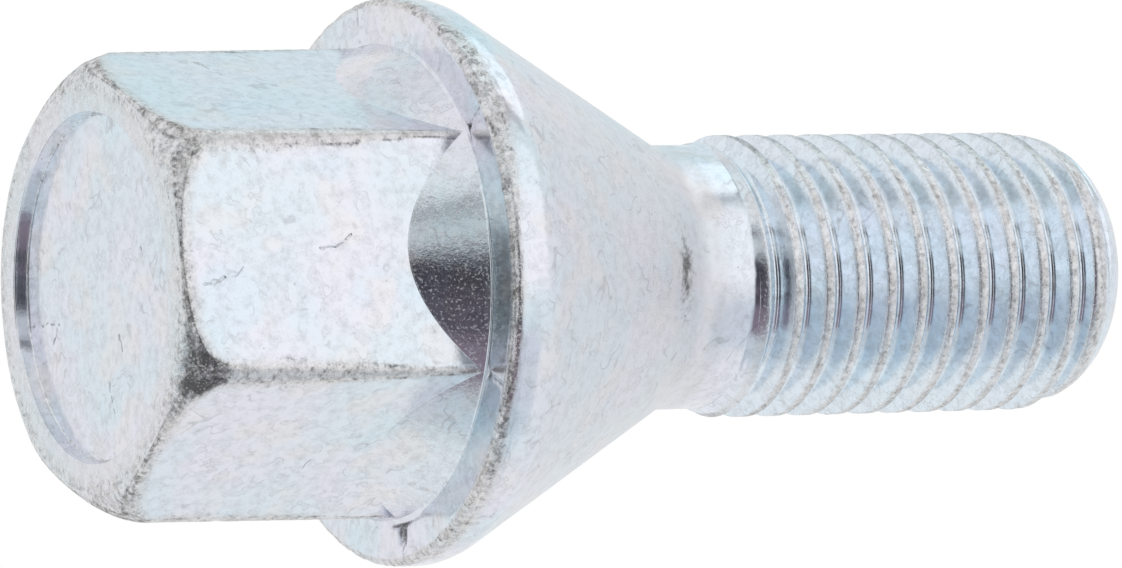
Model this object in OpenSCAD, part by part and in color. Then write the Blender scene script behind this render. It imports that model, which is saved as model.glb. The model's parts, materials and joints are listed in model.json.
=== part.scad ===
// Wheel bolt with a 60 degree cone seat, cold forged in one piece with a dished hexagon head.
// It stands on its head: z = 0 is the end of the head, and the tip of the thread is up.
// All sizes are in millimetres.

/* [Hexagon] */
// Width across the flats
hex_flats = 17; // [15:0.5:19]
// Height from the end of the head to the face of the flange
hex_h = 13.3; // [10:0.1:18]
// How far inside the flats the end ring stops and the chamfer begins
ring_inset = 0.2; // [0.1:0.05:0.6]
// Height over which the chamfer rounds into the corners
chamfer_h = 1.9; // [1:0.1:3]
// How much the forging underfills each corner next to the chamfer
corner_underfill = 0.16; // [0.05:0.01:0.3]

/* [Dished end] */
// Width of the flat ring that the bolt stands on
ring_w = 1.05; // [0.5:0.05:2.5]
// Depth of the dish
dish_depth = 0.6; // [0.5:0.1:2]
// How far the wall of the dish leans in on its way down
dish_draft = 0.06; // [0.02:0.02:0.4]
// Radius on the rim of the dish
dish_rim_r = 0.12; // [0.05:0.01:0.2]
// Radius between the wall and the floor of the dish
dish_floor_r = 0.1; // [0.1:0.02:0.56]

/* [Collar] */
// How far the foot of the conical collar reaches past the corners of the hexagon
collar_step = 0.05; // [0.05:0.01:0.35]
// Angle between the wall of the collar and the axis
collar_angle = 24; // [18:1:40]
// Radius at the foot of the collar
collar_foot_r = 0.15; // [0.1:0.05:0.5]

/* [Flange] */
// Outer diameter
flange_d = 23.5; // [23:0.1:28]
// Straight height of the rim
rim_h = 0.75; // [0.4:0.05:2]
// Radius on the edge of the face
rim_edge_r = 0.38; // [0.2:0.02:0.5]
// Radius that leads from the rim into the cone seat
rim_blend_r = 2; // [0.5:0.1:4]

/* [Seat and neck] */
// Included angle of the cone seat
seat_angle = 60; // [56:1:90]
// Radius of the hollow between the cone seat and the neck
neck_hollow_r = 2.2; // [0.5:0.1:4]
// How far the neck lies below the crests of the thread
neck_step = 0.4; // [0.2:0.05:0.9]
// Length of the neck, from the end of its hollow to the first trace of thread
neck_h = 1.7; // [0.5:0.1:10]

/* [Thread] */
// Diameter over the crests
thread_d = 11.9; // [9.8:0.05:14]
// Pitch
thread_pitch = 1.5; // [1:0.25:1.75]
// Number of pitches over which the crests rise out of the neck
runout_turns = 1.5; // [1:0.25:2.5]
// Length of the full thread, between its run-out and the tip
thread_h = 13.2; // [8:0.1:40]
// Length of the rounded tip
tip_h = 3.2; // [1.5:0.1:4.5]
// How far the flat end of the tip lies inside the crests
tip_step = 1.7; // [0.8:0.1:2.5]

/* [Hidden] */
$fn = 96;
zinc = [0.8, 0.83, 0.86];
// steps in each arc of an outline
arc_steps = 8;
// how far solids that become one reach into each other
overlap = 0.5;

// hexagon
flat_r = hex_flats / 2;
corner_r = flat_r / cos(30);
shoulder_r = corner_r - corner_underfill;
ring_outer_r = flat_r - ring_inset;
ring_inner_r = ring_outer_r - ring_w;

// dish
dish_top_r = ring_inner_r - dish_rim_r;
dish_bottom_r = dish_top_r - dish_draft;
dish_arc_r = min(dish_floor_r, dish_depth - dish_rim_r);

// collar
foot_r = corner_r + collar_step;
foot_arc_r = foot_r + collar_foot_r * (1 - sin(collar_angle)) / cos(collar_angle);
collar_root_r = flat_r - overlap;
collar_root_z = hex_h - (foot_r - collar_root_r) / tan(collar_angle);

// flange and cone seat
flange_r = flange_d / 2;
half_seat = seat_angle / 2;
blend_z = hex_h + rim_edge_r + rim_h;
seat_r = flange_r - rim_blend_r * (1 - cos(half_seat));
seat_z = blend_z + rim_blend_r * sin(half_seat);

// neck, whose hollow is tangent to the cone seat
thread_r = thread_d / 2;
neck_r = thread_r - neck_step;
hollow_r = neck_r + neck_hollow_r * (1 - cos(half_seat));
hollow_z = seat_z + (seat_r - hollow_r) / tan(half_seat);
neck_z = hollow_z + neck_hollow_r * sin(half_seat);

// thread
runout_z = neck_z + neck_h;
thread_z = runout_z + runout_turns * thread_pitch;
tip_z = thread_z + thread_h;
end_z = tip_z + tip_h;

// points [r, z] on a circular arc
function arc(centre, radius, from, to) = [
    for (i = [0 : arc_steps])
        let (a = from + (to - from) * i / arc_steps)
            centre + radius * [cos(a), sin(a)]
];

// points on a round that leaves [r, z] along the axis and, after its sweep, is drop nearer to it and rise further on
function round_off(r, z, drop, rise, sweep) = [
    for (i = [0 : arc_steps])
        let (a = sweep * i / arc_steps)
            [r - drop * (1 - cos(a)) / (1 - cos(sweep)), z + rise * sin(a) / sin(sweep)]
];

// the round form that trims the corners: a chamfer that rolls over into the end ring,
// then a slight taper where the metal did not fill the corners of the die
module corner_trim() {
    rotate_extrude()
        polygon(concat(
            [[0, hex_h + overlap], [corner_r, hex_h + overlap], [corner_r, hex_h]],
            round_off(shoulder_r, chamfer_h, shoulder_r - ring_outer_r, -chamfer_h, 80),
            [[0, 0]]
        ));
}

module hexagon() {
    intersection() {
        cylinder(r = corner_r, h = hex_h + overlap, $fn = 6);
        corner_trim();
    }
}

// the shallow round hollow in the end of the head, as the metal to take away
module dish() {
    rotate_extrude()
        polygon(concat(
            [[0, -overlap], [ring_inner_r, -overlap]],
            arc([ring_inner_r, dish_rim_r], dish_rim_r, 270, 180),
            arc([dish_bottom_r - dish_arc_r, dish_depth - dish_arc_r], dish_arc_r, 0, 90),
            [[0, dish_depth]]
        ));
}

// the round part of the bolt: collar, flange, cone seat, neck and the shank to the crests of its thread
module round_body() {
    rotate_extrude()
        polygon(concat(
            [[0, collar_root_z], [collar_root_r, collar_root_z]],
            arc([foot_arc_r, hex_h - collar_foot_r], collar_foot_r, 180 - collar_angle, 90),
            arc([flange_r - rim_edge_r, hex_h + rim_edge_r], rim_edge_r, -90, 0),
            arc([flange_r - rim_blend_r, blend_z], rim_blend_r, 0, half_seat),
            arc([neck_r + neck_hollow_r, neck_z], neck_hollow_r, 180 + half_seat, 180),
            [[neck_r, runout_z], [thread_r, thread_z]],
            round_off(thread_r, tip_z, tip_step, tip_h, 60),
            [[0, end_z]]
        ));
}

module wheel_bolt() {
    color(zinc)
        difference() {
            union() {
                hexagon();
                round_body();
            }
            dish();
        }
}

wheel_bolt();
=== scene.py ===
import json
import math
import bpy
import numpy as np
from mathutils import Matrix, Vector, noise


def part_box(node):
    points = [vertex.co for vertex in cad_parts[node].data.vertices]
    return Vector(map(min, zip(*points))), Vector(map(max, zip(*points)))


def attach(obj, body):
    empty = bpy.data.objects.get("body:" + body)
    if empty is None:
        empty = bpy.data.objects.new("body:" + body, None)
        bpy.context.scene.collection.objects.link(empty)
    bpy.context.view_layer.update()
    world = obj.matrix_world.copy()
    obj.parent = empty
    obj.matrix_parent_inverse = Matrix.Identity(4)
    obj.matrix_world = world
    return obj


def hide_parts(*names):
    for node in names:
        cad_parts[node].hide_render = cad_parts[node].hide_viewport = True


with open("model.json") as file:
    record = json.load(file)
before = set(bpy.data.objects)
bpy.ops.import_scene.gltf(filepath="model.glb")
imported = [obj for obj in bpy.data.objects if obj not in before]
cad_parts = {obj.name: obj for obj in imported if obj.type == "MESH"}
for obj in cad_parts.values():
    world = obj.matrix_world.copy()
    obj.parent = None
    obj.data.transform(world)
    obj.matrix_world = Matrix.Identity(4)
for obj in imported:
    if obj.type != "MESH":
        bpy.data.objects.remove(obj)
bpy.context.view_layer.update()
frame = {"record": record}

# The bolt is one piece: a length of wire, cold forged into the head, flange and cone seat.
# Its outside is one closed skin of rings, laid from the middle of the dished end to the tip.
# It stands on its head, sizes are in millimetres, and a ring has one point for each column.
METRE = 0.001
lowest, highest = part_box("wheel_bolt")
flange_r = (highest.x - lowest.x) / 2 / METRE
end_z = highest.z / METRE
columns = 252
sides = 6


class Skin:
    """Points and faces, and for each point, from 0 to 1, how worn, gritty and dull its plating is, and how
    dark with dirt, painted darkening and painted reflections.
    """

    def __init__(self):
        self.points, self.faces = [], []
        self.marks = {"worn": [], "gritty": [], "dirty": [], "dull": []}

    def ring(self, r, z, turn, **marks):
        """One ring of points, given back as their numbers."""
        first = len(self.points)
        r, z = np.broadcast_to(r, turn.shape), np.broadcast_to(z, turn.shape)
        self.points.extend(zip(r * np.cos(turn), r * np.sin(turn), z))
        for name, values in self.marks.items():
            values.extend(np.broadcast_to(marks.get(name, 0.0), turn.shape))
        return list(range(first, first + len(turn)))

    def join(self, lower, upper):
        """A band of faces between two rings."""
        for j in range(len(lower)):
            k = (j + 1) % len(lower)
            self.faces.append((lower[j], lower[k], upper[k], upper[j]))

    def rings(self, outline, turn, below=None, **marks):
        """Rings at the [r, z] points of an outline, the first joined to the ring below."""
        for r, z in outline:
            ring = self.ring(r, z, turn, **marks)
            if below:
                self.join(below, ring)
            below = ring
        return below

    def fan(self, ring, z, downwards):
        """Faces that close a ring with one point in its middle."""
        middle = len(self.points)
        self.points.append((0.0, 0.0, z))
        for values in self.marks.values():
            values.append(values[ring[0]])
        for j in range(len(ring)):
            a, b = ring[j], ring[(j + 1) % len(ring)]
            self.faces.append((middle, b, a) if downwards else (middle, a, b))


def ease(x, start, stop):
    """0 before start, 1 after stop, and smooth between them."""
    t = np.clip((np.asarray(x, float) - start) / (stop - start), 0, 1)
    return t * t * (3 - 2 * t)


def arc(r, z, radius, start, stop, steps):
    """Points on an arc about [r, z], between two angles in degrees, without its first one."""
    turns = [math.radians(start + (stop - start) * (i + 1) / steps) for i in range(steps)]
    return [(r + radius * math.cos(a), z + radius * math.sin(a)) for a in turns]


def straight(r0, z0, r1, z1, steps):
    """Points on a straight line, without its first one."""
    return [(r0 + (r1 - r0) * (i + 1) / steps, z0 + (z1 - z0) * (i + 1) / steps) for i in range(steps)]


def uneven(r, z, turn, size, seed):
    """Noise between -1 and 1 over a ring, whose lumps are about as large as size."""
    r, z = np.broadcast_to(r, turn.shape), np.broadcast_to(z, turn.shape)
    x, y = r * np.cos(turn) / size, r * np.sin(turn) / size
    return np.array([noise.noise(Vector((x[j] + seed, y[j], z[j] / size))) for j in range(len(turn))])


skin = Skin()

# The end of the head is dished by the punch that forged it: a nearly flat floor, a steep wall drawn into
# fine lines, and a soft rim. The crease where the wall meets the floor is painted darker, and the narrow flat
# ring round the dish, that the bolt stands on, is rubbed.
dish_depth = 0.6
dish_top_r = 7.13
dish_bottom_r = 7.07
dish_floor_r = 0.1
dish_rim_r = 0.12
ring_outer_r = 8.3
first_r = 1.2
floor_rings = 10
floor_wave = 0.008
wall_line_depth = 0.008
wall_line_squeeze = 0.3
ring_edge_w = 0.6

# The columns of the head crowd at the corners of the hexagon, at these angles in degrees from a corner.
hex_flat_r = 8.5
hex_corner_r = hex_flat_r / math.cos(math.pi / sides)
side_angle = 360 / sides
corner_columns = [0.0, 0.5, 1.0, 1.6]
corner_reach = 2.3
flat_columns = columns // sides - 2 * len(corner_columns) + 1
flat_reach = hex_flat_r * math.tan(math.radians(side_angle / 2 - corner_reach))
flat_steps = np.linspace(-flat_reach, flat_reach, flat_columns)
flat_turns = np.degrees(np.arctan(flat_steps / hex_flat_r)) + side_angle / 2
side_turns = np.concatenate((corner_columns, flat_turns, side_angle - np.array(corner_columns[:0:-1])))
head_turn = np.radians(np.concatenate([side_turns + side_angle * k for k in range(sides)]))
even_turn = np.arange(columns) * 2 * math.pi / columns

below = skin.rings([(first_r, dish_depth)], head_turn)
skin.fan(below, dish_depth, downwards=True)
for r in np.linspace(first_r, dish_bottom_r - dish_floor_r, floor_rings + 1)[1:]:
    wave = floor_wave * uneven(r, 0, head_turn, size=2.0, seed=3)
    below = skin.rings([(r, dish_depth + np.minimum(wave, 0))], head_turn, below)
wall = arc(dish_bottom_r - dish_floor_r, dish_depth - dish_floor_r, dish_floor_r, 90, 0, 5)
wall += straight(dish_bottom_r, dish_depth - dish_floor_r, dish_top_r, dish_rim_r, 4)
for r, z in wall:
    on_wall = ease(z, dish_depth, dish_depth - dish_floor_r)
    drawn = wall_line_depth * uneven(r, z * wall_line_squeeze, head_turn, size=0.25, seed=4) * on_wall
    # The crease where the wall meets the floor is painted darker.
    crease_darkening = (0.5 + 0.3 * uneven(r, z, head_turn, size=1.5, seed=8)) * (1 - on_wall)
    below = skin.rings([(r + drawn, z)], head_turn, below, dirty=crease_darkening)
for r, z in arc(dish_top_r + dish_rim_r, dish_rim_r, dish_rim_r, 180, 270, 4):
    below = skin.rings([(r, z)], head_turn, below, worn=0.3 * ease(z, dish_rim_r, 0))
for r, z in straight(dish_top_r + dish_rim_r, 0, ring_outer_r, 0, 5):
    out = ease(r, dish_top_r, ring_outer_r)
    at_edge = ease(r, ring_outer_r - ring_edge_w, ring_outer_r)
    below = skin.rings([(r, z)], head_turn, below, worn=0.3 + 0.2 * out, gritty=0.3 + 0.6 * out,
                       dirty=0.3 * at_edge)

# The chamfer rolls over from the end ring into the six corners, and the die left the corners a little
# unfilled, so each edge of the hexagon is a narrow worn band that sharpens towards the flange. Its metal is
# rough, and dirt sits in it; one corner also carries a painted dark reflection, which makes it much the
# darkest.
hex_h = 13.3
chamfer_h = 1.9
chamfer_sweep = math.radians(80)
shoulder_r = 9.655
edge_soft = 0.06
edge_wear = 0.05
knee_share = 0.45
knee_rise = 0.15
chamfer_rows = 9
chamfer_lump = 0.02
chamfer_lump_reach = 2.5
chamfer_grit_reach = 3.0
knee_dirt = (0.4, 0.5, 0.55, 0.5, 0.4, 0.3)
# Dirt in each corner; the last corner's much larger amount adds a painted dark reflection to its dirt.
corner_dirt_and_reflection_amounts = [0.35, 0.3, 0.4, 0.35, 0.35, 1.8]
grime_reach = 2.3
grime_least_reach = 0.3
grime_narrowing = 0.95
grime_rise_z = (0.05, 0.35)
grime_fade_z = (1.4, 2.4)


def from_corner(turn):
    """Angle to the nearest corner of the hexagon, negative before it."""
    return (turn + math.pi / sides) % (2 * math.pi / sides) - math.pi / sides


def side_radius(turn, z):
    """Distance from the axis to the side of the hexagon, with its corners trimmed round and softened."""
    flat = hex_flat_r / np.cos(math.pi / sides - np.abs(from_corner(turn)))
    trim = shoulder_r + (hex_corner_r - shoulder_r) * (z - chamfer_h) / (hex_h - chamfer_h)
    trim = trim - edge_wear * np.abs(uneven(hex_corner_r, z, turn, size=0.5, seed=11))
    h = np.clip(0.5 + 0.5 * (trim - flat) / edge_soft, 0, 1)
    return trim + (flat - trim) * h - edge_soft * h * (1 - h)


def corner_nearness(turn, reach):
    """1 on the edges of the hexagon, falling to 0 at that distance along the flat."""
    return 1 - ease(np.abs(from_corner(turn)) * hex_corner_r, reach * 0.4, reach)


def chamfer_point(sweep):
    """Point of the chamfer's round, where a sweep of 0 is the shoulder and a full sweep is the end ring."""
    r = shoulder_r - drop * (1 - np.cos(sweep)) / (1 - math.cos(chamfer_sweep))
    return r, chamfer_h - chamfer_h * np.sin(sweep) / math.sin(chamfer_sweep)


def bend(start, middle, end, t):
    """Point on a curve that leaves start and reaches end along the lines through middle."""
    return [(1 - t) ** 2 * a + 2 * t * (1 - t) * b + t * t * c for a, b, c in zip(start, middle, end)]


def corner_grime_and_reflection(r, z):
    """Dirt where the chamfer rolls into the corners, narrower and then fainter up the edge, with a painted
    dark reflection in the darkest corner.
    """
    spots = 0.5 + 0.4 * uneven(r, z, head_turn, size=0.7, seed=41)
    reach = np.clip(grime_reach - grime_narrowing * z, grime_least_reach, grime_reach)
    height_share = ease(z, *grime_rise_z) * (1 - ease(z, *grime_fade_z))
    return spots * corner_dirt_and_reflection * corner_nearness(head_turn, reach) * height_share


nearest_corner = np.rint(head_turn / math.radians(side_angle)).astype(int) % sides
corner_dirt_and_reflection = np.take(corner_dirt_and_reflection_amounts, nearest_corner)
drop = shoulder_r - ring_outer_r
meet_r = np.minimum(side_radius(head_turn, chamfer_h), shoulder_r - 0.002)
meet_sweep = np.arccos(1 - (shoulder_r - meet_r) / drop * (1 - math.cos(chamfer_sweep)))
knee_sweep = meet_sweep + (chamfer_sweep - meet_sweep) * knee_share
grit_near = corner_nearness(head_turn, chamfer_grit_reach)
for i in range(1, chamfer_rows + 1):
    r, z = chamfer_point(chamfer_sweep + (knee_sweep - chamfer_sweep) * i / chamfer_rows)
    lump = chamfer_lump * uneven(r, z, head_turn, size=0.4, seed=17)
    lump = lump * corner_nearness(head_turn, chamfer_lump_reach)
    to_knee = ease(i, chamfer_rows - 5, chamfer_rows)
    below = skin.rings([(r, np.maximum(z + lump * ease(z, 0.02, 0.2), 0))], head_turn, below,
                       worn=0.4 + 0.3 * i / chamfer_rows, gritty=0.7 + 0.3 * grit_near,
                       dirty=np.maximum(corner_grime_and_reflection(r, z), 0.55 * to_knee))
meet = chamfer_point(meet_sweep)
knee_top = meet[1] + knee_rise
above = (side_radius(head_turn, knee_top), knee_top)
for i, dirt in enumerate(knee_dirt, 1):
    r, z = bend(chamfer_point(knee_sweep), meet, above, i / len(knee_dirt))
    line = dirt * ease(uneven(r, z, head_turn, size=0.9, seed=45), -0.9, 0.2)
    below = skin.rings([(r, z)], head_turn, below, worn=0.9, gritty=0.95,
                       dirty=np.maximum(line, corner_grime_and_reflection(r, z)))

# The six flats are pressed by the die, nearly true. A conical collar carries them into the flange: it rises
# out of each flat in an arc, and the corners run into its foot.
collar_angle = math.radians(24)
foot_r = hex_corner_r + 0.05
foot_round_r = 0.2
foot_arc_r = foot_r + foot_round_r * (1 - math.sin(collar_angle)) / math.cos(collar_angle)
crease_gap = 0.04
side_rows = 36
flat_wave = 0.006
flat_ripple = 0.002
edge_reach = 0.75
edge_reach_lost = 0.55
edge_narrows_z = 4
rough_top_h = 0.6
collar_rows = 9
collar_wave = 0.004

crease_z = np.full(columns, hex_h - 1)
for _ in range(3):
    crease_z = hex_h - (foot_r - side_radius(head_turn, crease_z)) / math.tan(collar_angle)
for i in range(1, side_rows + 2):
    share = np.clip(i / side_rows, 0, 1)
    z = knee_top + (crease_z - knee_top - crease_gap) * share if i <= side_rows else crease_z
    r = side_radius(head_turn, z)
    wave = flat_wave * uneven(r, z, head_turn, size=2.2, seed=5)
    wave = wave + flat_ripple * uneven(r, z, head_turn, size=0.7, seed=6)
    edge = corner_nearness(head_turn, edge_reach - edge_reach_lost * ease(z, edge_narrows_z, hex_h))
    top = 1 - ease(z - knee_top, 0, rough_top_h)
    border = 3.4 * edge * (1 - edge) * (0.8 + 0.6 * uneven(r, z, head_turn, size=0.9, seed=47))
    # Dirt ground into the edge bands, with the darkest corner's painted dark reflection running up its edge.
    ground_in_and_reflection = np.maximum(0.75 * border, 0.16 * edge * corner_dirt_and_reflection)
    below = skin.rings([(r + np.minimum(wave, 0), z)], head_turn, below, worn=np.maximum(edge, 0.8 * top),
                       gritty=np.maximum(0.9 * edge + 0.4 * border, 0.95 * top),
                       dirty=np.maximum.reduce((corner_grime_and_reflection(r, z), ground_in_and_reflection, 0.5 * top)))
arc_start_z = hex_h - foot_round_r * (1 - math.sin(collar_angle))
for i in range(collar_rows + 1):
    z = crease_z + crease_gap + (arc_start_z - crease_z - crease_gap) * i / collar_rows
    wave = collar_wave * uneven(foot_r, z, head_turn, size=0.8, seed=7)
    r = foot_r - (hex_h - z) * math.tan(collar_angle) + wave
    below = skin.rings([(r, z)], head_turn, below, gritty=0.5)
foot = arc(foot_arc_r, hex_h - foot_round_r, foot_round_r, 180 - math.degrees(collar_angle), 90, 6)
below = skin.rings(foot, head_turn, below)

# The flange is upset in the last blow. The metal folds into a pit at the foot of each corner, deeper at some
# than at others and spread to both sides, with a fine radial seam. The edge stays rough where it met the
# parting of the die.
rim_edge_r = 0.38
rim_h = 0.75
rim_blend_r = 2.0
half_seat_angle = 30
half_seat = math.radians(half_seat_angle)
blend_z = hex_h + rim_edge_r + rim_h
seat_r = flange_r - rim_blend_r * (1 - math.cos(half_seat))
seat_z = blend_z + rim_blend_r * math.sin(half_seat)
pit_sizes = [1.0, 0.5, 0.3, 0.15, 0.42, 0.35]
pit_depth = 0.3
pit_arm_w = 0.16
pit_arm_least_w = 0.04
pit_stem_w = 0.36
pit_stem_l = 0.95
seam_depth = 0.035
seam_w = 0.08
face_rings = 14
face_crowding = 1.4
rough_spots = [(math.radians(-130), 0.45, 0.5), (math.radians(-20), 0.35, 0.4)]
rough_h = 0.05
rough_wander = 0.25
rough_soft = 0.15
crumb_depth = 0.09


def turn_from(spot, turn):
    """Angle from a spot on the round of the bolt, at most half a turn either way."""
    return np.angle(np.exp(1j * (turn - spot)))


across = from_corner(head_turn) * foot_arc_r
pit = np.take(pit_sizes, nearest_corner)
for share in np.linspace(0, 1, face_rings + 1)[1:] ** face_crowding:
    r = foot_arc_r + (flange_r - rim_edge_r - foot_arc_r) * share
    out = r - foot_arc_r
    arms = np.exp(-((across / pit) ** 2) - (out / (pit_arm_w * pit + pit_arm_least_w)) ** 2)
    stem = np.exp(-((across / (pit_stem_w * pit)) ** 4) - (out / (pit_stem_l * pit)) ** 4)
    hole = np.maximum(arms, stem)
    broken = ease(uneven(r, 0, head_turn, size=0.3, seed=19), -0.5, 0)
    seam = np.exp(-((across / seam_w) ** 2)) * ease(out, 0.3, 0.6) * broken
    # The pits and the seam are painted darker, the larger pits most.
    below = skin.rings([(r, hex_h + pit_depth * pit * hole + seam_depth * seam)], head_turn, below,
                       dirty=np.maximum(0.9 * hole * ease(pit, 0, 0.4), 0.6 * seam), gritty=hole)
rim = arc(flange_r - rim_edge_r, hex_h + rim_edge_r, rim_edge_r, -90, 0, 7)
rim += straight(flange_r, hex_h + rim_edge_r, flange_r, blend_z, 5)
rough_top = hex_h + rim_edge_r + rough_h
rough_top = rough_top + rough_wander * uneven(flange_r, hex_h, head_turn, size=3.0, seed=25)
for spot, reach, rise in rough_spots:
    rough_top = rough_top + rise * np.exp(-((turn_from(spot, head_turn) / reach) ** 2))
for r, z in rim:
    rough = 1 - ease(z, rough_top - rough_soft, rough_top + rough_soft)
    rough = rough * ease(r, flange_r - rim_edge_r, flange_r - rim_edge_r * 0.7)
    crumb = np.abs(uneven(r, z, head_turn, size=0.45, seed=21))
    crumb = crumb + 0.9 * np.abs(uneven(r, z, head_turn, size=0.2, seed=23))
    pocks = uneven(r, z, head_turn, size=0.5, seed=27) + 0.7 * uneven(r, z, head_turn, size=2.5, seed=29)
    below = skin.rings([(r - crumb_depth * rough * crumb, z)], head_turn, below, worn=0.6 * rough,
                       gritty=rough, dirty=rough * (0.5 * ease(pocks, -0.1, 0.5)))
below = skin.rings(arc(flange_r - rim_blend_r, blend_z, rim_blend_r, 0, half_seat_angle, 5), head_turn, below)

# The 60 degree cone seats in the wheel, and a round hollow takes it into the plain neck. It is duller than
# the head, as it is drawn over the die; near the neck, a shallow dent facing the camera carries a painted
# dark reflection.
thread = next(m for m in frame["record"]["mounts"] if m["name"] == "thread")
thread_r = thread["dims"]["r_mm"]
thread_top = thread["pos_m"][2] / METRE + thread["dims"]["length_mm"] / 2
neck_r = thread_r - 0.4
hollow_round_r = 2.2
hollow_r = neck_r + hollow_round_r * (1 - math.cos(half_seat))
hollow_z = seat_z + (seat_r - hollow_r) / math.tan(half_seat)
neck_z = hollow_z + hollow_round_r * math.sin(half_seat)
seat_rows = 32
seat_wave = 0.012
seat_ripple = 0.004
# A painted dark reflection over a shallow dent, near the neck on the side of the seat that faces the camera.
dark_reflection_z = 24.3
dark_reflection_h = 0.42
dark_reflection_dent_depth = 0.03
dark_reflection_turn = math.radians(-82)
dark_reflection_sweep = math.radians(17)

for i, (r, z) in enumerate(straight(seat_r, seat_z, hollow_r, hollow_z, seat_rows)):
    share = ease(i + 1, 0, seat_rows)
    turn = head_turn + (even_turn - head_turn) * share
    wave = seat_wave * uneven(r, z, turn, size=2.6, seed=31)
    wave = wave + seat_ripple * uneven(r, z, turn, size=0.9, seed=33)
    # Painted dark reflection on the side that faces the camera, pressed in as a shallow dent.
    dark_reflection = np.exp(-((turn_from(dark_reflection_turn, turn) / dark_reflection_sweep) ** 2))
    dark_reflection = dark_reflection * math.exp(-(((z - dark_reflection_z) / dark_reflection_h) ** 2))
    dark_reflection = dark_reflection * (1 + 0.7 * uneven(r, z, turn, size=0.6, seed=35))
    below = skin.rings([(r + np.minimum(wave, 0) - dark_reflection_dent_depth * dark_reflection, z)], turn, below,
                       dull=0.6 + 0.4 * share, dirty=0.85 * dark_reflection, gritty=0.7 * dark_reflection)
hollow = arc(neck_r + hollow_round_r, neck_z, hollow_round_r, 180 + half_seat_angle, 180, 10)
below = skin.rings(hollow, even_turn, below, dull=1.0)

# The thread is rolled: dies press its grooves into the neck and raise its crests above it. The crests stay a
# little unfilled, flat and rubbed, with an open seam along the first ones. The thread is right-handed, rises
# out of the neck in about a pitch, and is cut off by the rounded tip.
pitch = 1.5
crest_half = 0.2
crest_half_at_tip = 0.56
crest_soft = 0.03
crest_soft_unformed = 0.2
crest_nick = 0.012
flank_slope = math.tan(math.radians(60))
flank_least = 0.09
root_round_r = 0.2
root_half = root_round_r * math.cos(math.radians(30))
thread_rows = 14
step = columns // thread_rows
first_crest = 27.25
run_in = (28.0, 28.5, 29.1)
run_in_share = 0.55
spread_h = 1.1
gather_h = 0.7
crest_seam_depth = 0.09
crest_seam_z = (28.4, 31.5)
crest_line_depth = 0.03
tip_h = end_z - thread_top
tip_drop = 1.7
tip_sweep = math.radians(60)
last_row = 175
last_crest = first_crest + pitch * last_row / thread_rows
worn_rows = (1.0, 0.5, 0.1, 0, 0, 0, 0, 0)
gritty_rows = (1.0, 0.8, 0.6, 0.3, 0, 0, 0.2, 0.4)
dirty_rows = (0.3, 0.1, 0.3, 0.1, 0, 0, 0.1, 0.3)


def tip_radius(z):
    """Radius of the rounded tip at a height, which is also the most that the thread can reach there."""
    rise = np.clip((z - thread_top) / tip_h, 0, 1) * math.sin(tip_sweep)
    return thread_r - tip_drop * (1 - np.sqrt(1 - rise * rise)) / (1 - math.cos(tip_sweep))


def groove_steps(reach):
    """Distances along the axis, from the middle of a crest to the middle of the root, of one side's rows."""
    edge = np.clip(crest_half + (thread_r - reach) / flank_slope, crest_half, crest_half_at_tip)
    low = np.maximum(pitch / 2 - root_half, edge + flank_least)
    root = pitch / 2 - low
    return [0 * edge, edge - 0.02, edge + 0.015, edge + 0.05, low - 0.03, low + 0.2 * root, low + 0.6 * root,
            low + root]


def thread_form(along, reach, soft):
    """Radius of the thread at a distance along the axis from the middle of a crest with soft edges."""
    flank = thread_r - flank_slope * (along - crest_half)
    from_root = pitch / 2 - along
    root = thread_r - flank_slope * (pitch / 2 - crest_half) + 2 * root_round_r
    root = root - np.sqrt(np.maximum(root_round_r ** 2 - from_root ** 2, 0))
    r = np.where(from_root < root_half, root, flank)
    h = np.clip(0.5 + 0.5 * (reach - r) / soft, 0, 1)
    return reach + (r - reach) * h - soft * h * (1 - h)


def row_points(i):
    """Height, radius and marks of one row of the thread, which climbs a pitch in a turn."""
    whole, part = divmod(i, thread_rows)
    base = first_crest + pitch * (whole + even_turn / (2 * math.pi))
    plain = base + pitch * part / thread_rows
    mirrored = part > thread_rows // 2
    side = thread_rows - part if mirrored else part
    crest = base + (pitch if mirrored else 0)
    along = groove_steps(tip_radius(crest))[side]
    formed = crest + (-along if mirrored else along)
    share = ease(plain, first_crest, first_crest + spread_h)
    share = share * (1 - ease(plain, last_crest - gather_h, last_crest))
    z = plain + (formed - plain) * share
    grown = run_in_share * np.clip((z - run_in[0]) / (run_in[1] - run_in[0]), 0, 1)
    grown = grown + (1 - run_in_share) * ease(z, run_in[1], run_in[2])
    soft = crest_soft + crest_soft_unformed * (1 - grown)
    form = thread_form(np.abs(z - crest), tip_radius(z), soft)
    nick = crest_nick * np.abs(uneven(thread_r, z, even_turn, size=0.35, seed=51)) if side <= 2 else 0
    r = np.minimum(neck_r + (form - neck_r) * grown, tip_radius(z)) - nick
    seam = crest_seam_depth * grown * (1 - ease(z, *crest_seam_z)) + crest_line_depth * grown
    darkening = grown * dirty_rows[side] * ease(uneven(thread_r, z, even_turn, size=0.7, seed=53), -0.4, 0.4)
    marks = {"worn": grown * worn_rows[side], "gritty": grown * gritty_rows[side], "dirty": darkening,
             "dull": 0.1 * (1 - grown)}
    return z, r - (side == 0) * seam, marks


def thread_point(i, j):
    """Number of the point at a row and a column. One turn on, a row becomes the row a pitch higher."""
    return index[i + thread_rows, 0] if j == columns else index[i, j]


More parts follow.
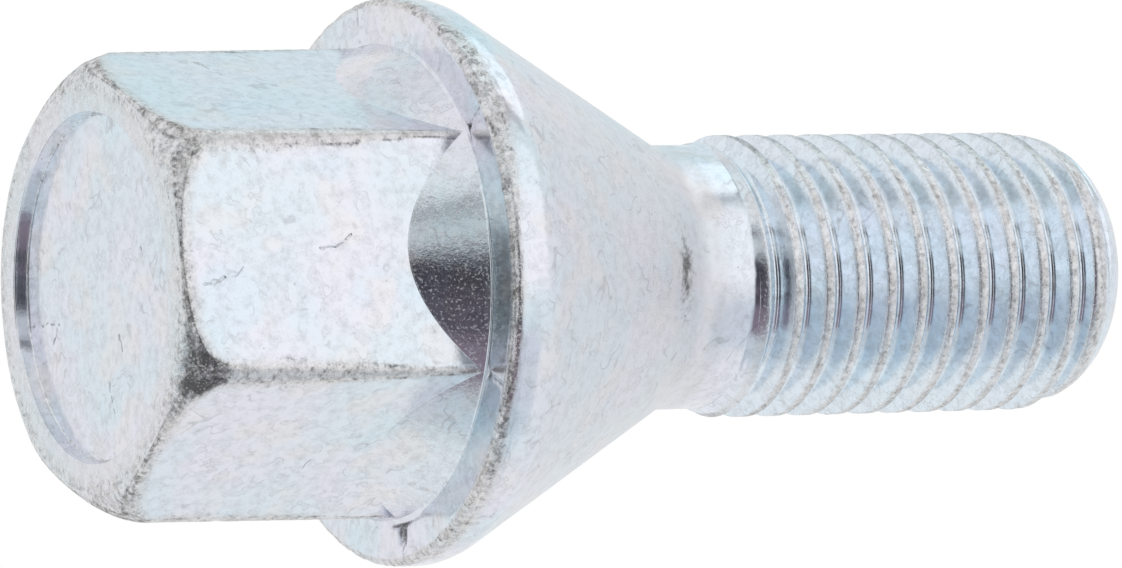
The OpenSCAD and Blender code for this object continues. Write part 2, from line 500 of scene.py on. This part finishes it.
index = {}
for r, z in straight(neck_r, neck_z, neck_r, first_crest, 5)[:-1]:
    below = skin.rings([(r, z)], even_turn, below, dull=1 - 0.9 * ease(z, neck_z, first_crest))
floor_ring = skin.ring(neck_r, first_crest, even_turn, dull=0.1)
skin.join(below, floor_ring)
roof_ring = skin.ring(tip_radius(last_crest), last_crest, even_turn)
for i in range(-thread_rows, last_row + 1):
    z, r, marks = row_points(i)
    for j in range(columns):
        reached = step * i + j
        if reached == 0:
            index[i, j] = floor_ring[j]
        elif reached == step * last_row:
            index[i, j] = roof_ring[j]
        elif 0 < reached < step * last_row:
            index[i, j] = len(skin.points)
            skin.points.append((r[j] * math.cos(even_turn[j]), r[j] * math.sin(even_turn[j]), z[j]))
            for name, values in marks.items():
                skin.marks[name].append(values[j])
for j in range(columns):
    next_column = (j + 1) % columns
    low_row = -(j // step)
    top_row = (step * last_row - j - 1) // step
    first = [floor_ring[j], floor_ring[next_column], thread_point(low_row, j + 1), thread_point(low_row, j)]
    last = [thread_point(top_row, j), thread_point(top_row, j + 1), roof_ring[next_column], roof_ring[j]]
    rows = [[thread_point(i, j), thread_point(i, j + 1), thread_point(i + 1, j + 1), thread_point(i + 1, j)]
            for i in range(low_row, top_row)]
    for corners in [first, *rows, last]:
        skin.faces.append(tuple(dict.fromkeys(corners)))

end_r = thread_r - tip_drop
tip_rings = [(tip_radius(z), z) for z in np.linspace(last_crest, end_z, 5)[1:-1]]
end_rings = [(end_r + 0.02, end_z - 0.02), (end_r - 0.05, end_z), (end_r - 0.4, end_z), (first_r, end_z)]
below = skin.rings(tip_rings, even_turn, roof_ring, worn=0.4)
below = skin.rings(end_rings, even_turn, below, worn=0.3)
skin.fan(below, end_z, downwards=False)

shape = bpy.data.meshes.new("wheel_bolt_forging")
shape.from_pydata([Vector(p) * METRE for p in skin.points], [], skin.faces)
for name, values in skin.marks.items():
    shape.attributes.new(name, "FLOAT", "POINT").data.foreach_set("value", np.array(values, dtype=float))
shape.shade_smooth()
shape.validate()
bolt = bpy.data.objects.new("wheel_bolt_forging", shape)
bpy.context.scene.collection.objects.link(bolt)


class Socket:
    """A value in a material, which Python's own operators work on by adding Math nodes."""

    def __init__(self, nodes, socket):
        self.nodes, self.socket = nodes, socket

    def maths(self, operation, *values):
        return self.nodes.add("ShaderNodeMath", {"operation": operation}, dict(enumerate(values)))

    def __add__(self, other):
        return self.maths("ADD", self, other)

    def __sub__(self, other):
        return self.maths("SUBTRACT", self, other)

    def __rsub__(self, other):
        return self.maths("SUBTRACT", other, self)

    def __mul__(self, other):
        return self.maths("MULTIPLY", self, other)

    def __abs__(self):
        return self.maths("ABSOLUTE", self)

    __radd__, __rmul__ = __add__, __mul__


class Nodes:
    """The nodes of a material or of the world."""

    def __init__(self, tree):
        self.tree = tree
        tree.nodes.clear()

    def add(self, kind, settings=None, values=None, output=0):
        """One node: its settings first, then the values or links of its sockets."""
        node = self.tree.nodes.new(kind)
        for name, value in (settings or {}).items():
            setattr(node, name, value)
        for name, value in (values or {}).items():
            if isinstance(value, Socket):
                self.tree.links.new(value.socket, node.inputs[name])
            else:
                node.inputs[name].default_value = value
        return Socket(self, node.outputs[output]) if node.outputs else None

    def ease(self, value, start, stop):
        """0 before start, 1 after stop, and smooth between them."""
        settings = {"interpolation_type": "SMOOTHSTEP"}
        return self.add("ShaderNodeMapRange", settings, {"Value": value, "From Min": start, "From Max": stop})

    def blend(self, share, first, second):
        """The first colour, with that share of the second."""
        values = {"Factor": share, 6: first, 7: second}
        return self.add("ShaderNodeMix", {"data_type": "RGBA"}, values, output=2)

    def vector(self, operation, first, second, output=0):
        return self.add("ShaderNodeVectorMath", {"operation": operation}, {0: first, 1: second}, output)

    def stretch(self, vector, scale):
        return self.add("ShaderNodeVectorMath", {"operation": "SCALE"}, {"Vector": vector, "Scale": scale})

    def limit(self, value):
        """The value, kept between 0 and 1."""
        return self.add("ShaderNodeClamp", {}, {"Value": value})

    def speckle(self, place, scale, detail=2.0, roughness=0.5):
        values = {"Vector": place, "Scale": scale, "Detail": detail, "Roughness": roughness}
        return self.add("ShaderNodeTexNoise", {}, values)

    def hairlines(self, place, scale, width):
        """Thin curved lines of about one width."""
        return 1 - self.ease(abs(self.speckle(place, scale, detail=1.0) - 0.5), width * 0.3, width)

    def scratch(self, place, start, end, width):
        """A straight mark between two points, in millimetres."""
        start, end = Vector(start), Vector(end)
        away = self.vector("SUBTRACT", place, start)
        run = end - start
        share = self.limit(self.vector("DOT_PRODUCT", away, run / run.length_squared, output=1))
        distance = self.vector("DISTANCE", away, self.stretch(run, share), output=1)
        return 1 - self.ease(distance, width * 0.3, width)


# Bright zinc with a clear bluish passivation: cool grey metal that drifts between green, blue and lilac,
# bluest on the thread, with a fine grain and with scuffs and knocks from tumbling in the plating barrel.
# Every edge and crest is dull and warm with wear, and rough metal holds dark grains, dirt and white dust.
# The black of the dirt also darkens the dish's crease and the flange's pits, and paints dark reflections onto
# one corner and the seat.
knock_flat = -hex_flat_r
knocks = [
    ((1.29, knock_flat, 0.75), (0.83, knock_flat, 2.12), 0.07),
    ((0.83, knock_flat, 2.12), (0.60, knock_flat, 2.81), 0.06),
    ((-0.32, knock_flat, 6.35), (-0.23, knock_flat, 6.97), 0.08),
    ((-0.23, knock_flat, 6.97), (-0.74, knock_flat, 7.65), 0.1),
    ((-9.03, -1.36, 4.95), (-8.32, -2.59, 5.42), 0.09),
    ((8.05, -3.06, 7.33), (7.56, -3.9, 7.86), 0.06),
    ((0.65, 6.72, dish_depth), (0.92, 4.25, dish_depth), 0.07),
    ((0.92, 4.25, dish_depth), (1.83, 5.19, dish_depth), 0.08),
    ((2.13, -1.22, dish_depth), (2.75, -1.29, dish_depth), 0.13),
    ((3.98, 0.15, dish_depth), (5.48, -0.32, dish_depth), 0.08),
    ((-1.5, -3.6, dish_depth), (-1.0, -3.7, dish_depth), 0.12),
]
knock_wander = 0.5
bump_depth = 0.02
green_film = (0.77, 0.85, 0.90, 1)
lilac_film = (0.84, 0.84, 0.91, 1)

zinc = bpy.data.materials.new("zinc_plate")
zinc.use_nodes = True
n = Nodes(zinc.node_tree)
place = n.add("ShaderNodeTexCoord", {}, {}, output=3)
place = n.stretch(place, 1 / METRE)
worn, gritty, dirty, dull = [n.add("ShaderNodeAttribute", {"attribute_name": name}, output=2)
                             for name in ("worn", "gritty", "dirty", "dull")]
up_the_bolt = n.add("ShaderNodeSeparateXYZ", {}, {"Vector": place}, output=2)
in_thread = n.ease(up_the_bolt, first_crest, run_in[2])
grain = n.speckle(place, 9.0, detail=2.0, roughness=0.6)
mottle = n.speckle(place, 2.2, detail=4.0, roughness=0.75)
peel = n.speckle(place, 1.3, detail=1.0)
grit = n.speckle(place, 3.6, detail=4.0, roughness=0.8)
patches = n.speckle(place, 0.7, detail=1.0)
scuff = n.hairlines(place, 0.9, width=0.03) * n.ease(patches, 0.56, 0.64)
ticks = n.hairlines(place, 2.2, width=0.04) * n.ease(patches, 0.44, 0.36)
dots = 1 - n.ease(n.add("ShaderNodeTexVoronoi", {}, {"Vector": place, "Scale": 1.5}), 0.05, 0.1)
dots = dots * n.ease(patches, 0.5, 0.6)
shift = n.add("ShaderNodeTexNoise", {}, {"Vector": place, "Scale": 1.6, "Detail": 1.0}, output=1)
shift = n.stretch(shift, knock_wander)
shifted = n.vector("ADD", place, n.vector("SUBTRACT", shift, (knock_wander / 2,) * 3))
knock = 0
for start, end, width in knocks:
    knock = n.scratch(shifted, start, end, width) + knock
marks = n.limit(scuff * 0.5 + ticks * 0.4 + dots * 0.8 + knock * n.ease(grit, 0.35, 0.6))
specks = n.ease(grit + (gritty - 1) * 0.3, 0.48, 0.64)
glints = n.ease(grit, 0.5, 0.36) * gritty
dust = n.ease(grain, 0.54, 0.66) * gritty
stains = n.ease(n.speckle(place, 1.5, detail=3.0, roughness=0.7), 0.46, 0.6) * n.ease(gritty, 0.5, 1.0)
# Darkening: dirt, and the painted darkening and painted dark reflections that the same attribute carries.
darkening = n.ease(dirty + (grit - 0.5) * 1.6, 0.2, 0.9)

coats = {
    "blue drift": (n.ease(n.speckle(place, 0.33, detail=1.0), 0.5, 0.7) * 0.6, (0.72, 0.85, 0.92, 1)),
    "warm drift": (n.ease(n.speckle(place, 0.5, detail=1.0), 0.52, 0.7) * 0.5, (0.87, 0.84, 0.83, 1)),
    "blue of the thread": (in_thread * 0.6, (0.82, 0.92, 1.0, 1)),
    "mottle": (n.ease(mottle, 0.38, 0.8) * 0.6, (0.50, 0.52, 0.54, 1)),
    "dull seat": (dull * 0.4, (0.72, 0.70, 0.71, 1)),
    "scuffs and knocks": (marks * 0.65, (0.38, 0.37, 0.38, 1)),
    "wear": (worn * 0.6, (0.66, 0.63, 0.61, 1)),
    "stains": (stains * 0.4, (0.38, 0.35, 0.33, 1)),
    "bright grains": (glints * 0.6, (0.94, 0.92, 0.90, 1)),
    "dark grains": (specks * 0.55, (0.24, 0.22, 0.20, 1)),
    # Black for dirt, also used for painted darkening and painted dark reflections.
    "dirt": (darkening * 0.85, (0.08, 0.08, 0.08, 1)),
    "dust": (dust * 0.4, (0.85, 0.83, 0.82, 1)),
}
colour = n.blend(n.ease(n.speckle(place, 0.2, detail=1.0), 0.35, 0.65), green_film, lilac_film)
for share, tone in coats.values():
    colour = n.blend(share, colour, tone)
roughness = 0.11 + grain * 0.08 + worn * 0.1 + gritty * 0.05 + dull * 0.14 + darkening * 0.2
height = grain * (0.12 + gritty * 0.3) + peel * 0.35 - knock * 1.2 + grit * gritty
bump = n.add("ShaderNodeBump", {}, {"Strength": 1.0, "Distance": bump_depth * METRE, "Height": height})
plate = n.add("ShaderNodeBsdfPrincipled", {}, {
    "Base Color": colour, "Metallic": 1 - dust * 0.7, "Roughness": roughness, "Normal": bump})
n.add("ShaderNodeOutputMaterial", {}, {"Surface": plate})
shape.materials.append(zinc)
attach(bolt, "root")
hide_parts("wheel_bolt")

# The photograph looks at the side of the bolt from the head, a little along it, so a bolt that stands on its
# head is seen from below. Angles are measured from the flat of the hexagon that faces the viewer.
view_tilt = math.radians(28.787)
view_turn = math.radians(8.0)
view_roll = math.radians(1.061)
view_distance = 370.8
aim_height = 21.842
aim_side = -0.203
photo_width = 1122
focal_pixels = 8886
sensor = 36.0
nearest, farthest = 0.01, 20

towards = Vector((math.sin(view_turn), -math.cos(view_turn), 0))
upwards = Vector((-math.cos(view_turn), -math.sin(view_turn), 0))
along = Vector((0, 0, 1))
right = math.cos(view_tilt) * along + math.sin(view_tilt) * towards
back = -math.sin(view_tilt) * along + math.cos(view_tilt) * towards
rolled_right = math.cos(view_roll) * right - math.sin(view_roll) * upwards
rolled_up = math.sin(view_roll) * right + math.cos(view_roll) * upwards
lens = bpy.data.cameras.new("camera")
lens.sensor_width = sensor
lens.lens = sensor * focal_pixels / photo_width
lens.clip_start, lens.clip_end = nearest, farthest
camera = bpy.data.objects.new("camera", lens)
place_of_camera = (aim_height * along + aim_side * upwards + view_distance * back) * METRE
axes = Matrix((rolled_right, rolled_up, back)).transposed()
camera.matrix_world = Matrix.Translation(place_of_camera) @ axes.to_4x4()
bpy.context.scene.collection.objects.link(camera)
bpy.context.scene.camera = camera

# The studio is a pale light tent that only the metal mirrors: the rest gets even light and a white
# background. Panels hang round the shank. In front is a tall dark opening between two grey boards, with a
# black strip and two purplish curtains, and the end below the head is cool with a dark middle.
tent_cloth = (0.88, 0.89, 0.90, 1)
tent_roof = (0.83, 0.84, 0.86, 1)
even_light = (0.8, 0.8, 0.8, 1)
white = (1, 1, 1, 1)
# For each panel: from, to and softness in degrees round the bolt, the same in height, and the colour.
panels = {
    "bright panel": ((-6, 60, 5), (0.2, 0.8, 0.06), (1.03, 1.03, 1.05, 1)),
    "cool panel": ((-65, -20, 8), (0.1, 0.62, 0.07), (0.70, 0.75, 0.80, 1)),
    "foot of the cool panel": ((-85, -25, 8), (0.1, 0.44, 0.02), (0.58, 0.63, 0.69, 1)),
    "grey panel": ((60, 110, 8), (0.1, 0.4, 0.04), (0.62, 0.65, 0.64, 1)),
    "pale panel": ((92, 130, 6), (-0.3, 0.2, 0.06), (0.78, 0.81, 0.83, 1)),
    "panel edge": ((68, 75, 2), (0.25, 0.7, 0.04), (0.50, 0.50, 0.53, 1)),
    "teal panel": ((90, 165, 8), (0.3, 0.7, 0.06), (0.76, 0.87, 0.90, 1)),
}
# For each thing in front: from, to and softness across the photograph's height, its strength and its colour.
front_level = (-0.55, 0.14, 0.06)
front_things = {
    "lower board": ((-0.96, -0.7, 0.03), 1.0, (0.62, 0.66, 0.70, 1)),
    "upper board": ((0.2, 0.62, 0.03), 1.0, (0.64, 0.67, 0.69, 1)),
    "black strip": ((0.53, 0.60, 0.01), 1.0, (0.08, 0.08, 0.09, 1)),
    "opening": ((-0.74, 0.25, 0.03), 1.0, (0.04, 0.035, 0.05, 1)),
    "narrow curtain": ((-0.26, -0.17, 0.02), 0.5, (0.27, 0.21, 0.27, 1)),
    "wide curtain": ((-0.74, -0.42, 0.04), 0.8, (0.27, 0.21, 0.27, 1)),
}
low_end_z = (-0.9, -0.75)
low_end_cool = ((-0.98, -0.3, 0.06), (0.37, 0.44, 0.50, 1))
low_end_dark = ((-0.32, 0.25, 0.06), (0.13, 0.14, 0.15, 1))

world = bpy.data.worlds.new("light_tent")
bpy.context.scene.world = world
bpy.context.scene.view_settings.view_transform = "Standard"
world.use_nodes = True
w = Nodes(world.node_tree)
ray = w.add("ShaderNodeTexCoord", {}, {}, output=0)
ahead = w.vector("DOT_PRODUCT", ray, towards, output=1)
aside = w.vector("DOT_PRODUCT", ray, upwards, output=1)
height = w.vector("DOT_PRODUCT", ray, along, output=1)
turn = aside.maths("ARCTAN2", aside, ahead) * (180 / math.pi)


def between(value, low, high, soft):
    """1 from low to high, with soft edges."""
    return w.ease(value, low - soft, low + soft) * (1 - w.ease(value, high - soft, high + soft))


tent = w.blend(w.ease(height, 0.6, 1.0), tent_cloth, tent_roof)
for round_bolt, up, tone in panels.values():
    tent = w.blend(between(turn, *round_bolt) * between(height, *up), tent, tone)
low_end = 1 - w.ease(height, *low_end_z)
tent = w.blend(between(aside, *low_end_cool[0]) * low_end, tent, low_end_cool[1])
front = w.ease(ahead, -0.05, 0.1) * between(height, *front_level)
for up_photo, strength, tone in front_things.values():
    tent = w.blend(between(aside, *up_photo) * front * strength, tent, tone)
low_end_front = low_end * w.ease(ahead, 0.0, 0.1)
tent = w.blend(between(aside, *low_end_dark[0]) * low_end_front, tent, low_end_dark[1])
looked_at = w.add("ShaderNodeLightPath", output="Is Camera Ray")
seen_through = w.add("ShaderNodeLightPath", output="Is Transmission Ray")
mirrored = w.add("ShaderNodeLightPath", output="Is Glossy Ray")
light = w.blend(mirrored, even_light, tent)
light = w.blend(looked_at + seen_through, light, white)
sky = w.add("ShaderNodeBackground", {}, {"Color": light, "Strength": 1.0})
w.add("ShaderNodeOutputWorld", {}, {"Surface": sky})

# The floor is a round sheet of pale paper. The camera sees it from above only, because the photograph's view
# comes from below it.
floor_radius = 1.2
paper_tone = (0.84, 0.84, 0.84, 1)
floor_shape = bpy.data.meshes.new("floor")
rim_points = [(floor_radius * math.cos(t), floor_radius * math.sin(t), 0) for t in even_turn]
floor_shape.from_pydata(rim_points, [], [tuple(range(columns))])
floor = bpy.data.objects.new("floor", floor_shape)
bpy.context.scene.collection.objects.link(floor)
paper = bpy.data.materials.new("floor_paper")
paper.use_nodes = True
p = Nodes(paper.node_tree)
from_below = p.add("ShaderNodeNewGeometry", {}, {}, output="Backfacing")
looked_at = p.add("ShaderNodeLightPath", {}, {}, output="Is Camera Ray")
clear = p.add("ShaderNodeBsdfTransparent", {}, {})
matt = p.add("ShaderNodeBsdfDiffuse", {}, {"Color": paper_tone})
shown = p.add("ShaderNodeMixShader", {}, {0: looked_at * (1 - from_below), 1: clear, 2: matt})
p.add("ShaderNodeOutputMaterial", {}, {"Surface": shown})
floor_shape.materials.append(paper)

# One round softbox hangs over the bolt as the photograph shows it, some way towards the tip.
softbox_side = 0.99 * upwards - 0.12 * towards + 0.7 * along
softbox_distance = 1.5
softbox_size = 0.92
softbox_watts = 0.6
softbox = bpy.data.lights.new("key_softbox", "AREA")
softbox.shape, softbox.size, softbox.energy = "DISK", softbox_size, softbox_watts
lamp = bpy.data.objects.new("key_softbox", softbox)
lamp.location = softbox_side.normalized() * softbox_distance
lamp.rotation_mode = "QUATERNION"
lamp.rotation_quaternion = (-softbox_side).to_track_quat("-Z", "Y")
bpy.context.scene.collection.objects.link(lamp)
